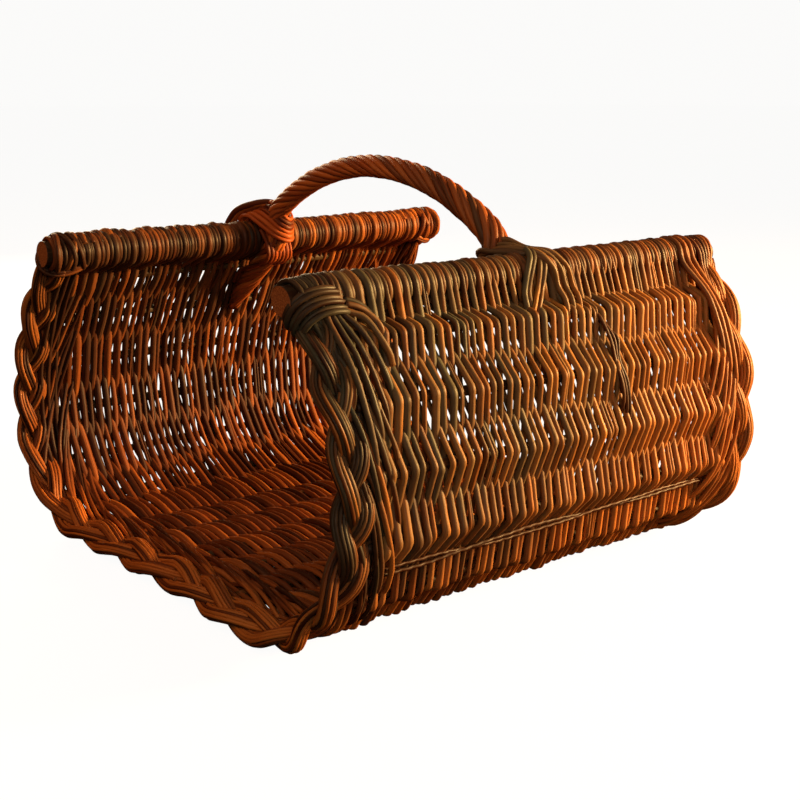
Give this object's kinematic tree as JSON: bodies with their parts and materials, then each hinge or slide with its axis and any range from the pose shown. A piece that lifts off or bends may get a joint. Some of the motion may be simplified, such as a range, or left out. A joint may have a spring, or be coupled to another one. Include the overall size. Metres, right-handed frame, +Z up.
{
  "type": "wicker log basket",
  "caption": "Open-ended willow log basket: a U-shaped woven trough on lengthwise stakes, plaited end borders, two wrapped side rails and a roped bow handle.",
  "frame": {"origin": "on the floor, under the middle of the basket", "axes": "+X across the trough towards the right rail, +Y along the trough towards the back opening, +Z up"},
  "size_m": [0.5638, 0.5, 0.3807],
  "materials": {
    "rail_stick": "sawn willow stick with thin bark",
    "rail_wrapping": "boiled brown willow, satin",
    "weave": "boiled brown willow in the bark, satin",
    "stake": "boiled brown willow, satin",
    "border_plait": "dark brown willow, satin",
    "handle_core": "willow stick",
    "handle_roping": "red-brown willow, satin",
    "lashing": "brown willow, satin"
  },
  "bodies": {
    "root": {"border_back": "border_plait", "border_front": "border_plait", "handle_bow": "handle_core", "handle_lashing_left": "lashing", "handle_lashing_right": "lashing", "handle_roping": "handle_roping", "knot_back_left": "lashing", "knot_back_right": "lashing", "knot_front_left": "lashing", "knot_front_right": "lashing", "rail_left": "rail_stick", "rail_right": "rail_stick", "rail_wrap_left": "rail_wrapping", "rail_wrap_right": "rail_wrapping", "stake_bottom_middle": "stake", "stake_left_1": "stake", "stake_left_2": "stake", "stake_left_3": "stake", "stake_left_4": "stake", "stake_left_5": "stake", "stake_left_6": "stake", "stake_left_7": "stake", "stake_left_8": "stake", "stake_left_9": "stake", "stake_right_1": "stake", "stake_right_2": "stake", "stake_right_3": "stake", "stake_right_4": "stake", "stake_right_5": "stake", "stake_right_6": "stake", "stake_right_7": "stake", "stake_right_8": "stake", "stake_right_9": "stake", "twined_row_left": "stake", "twined_row_right": "stake", "woven_body": "weave"}
  },
  "joints": []
}
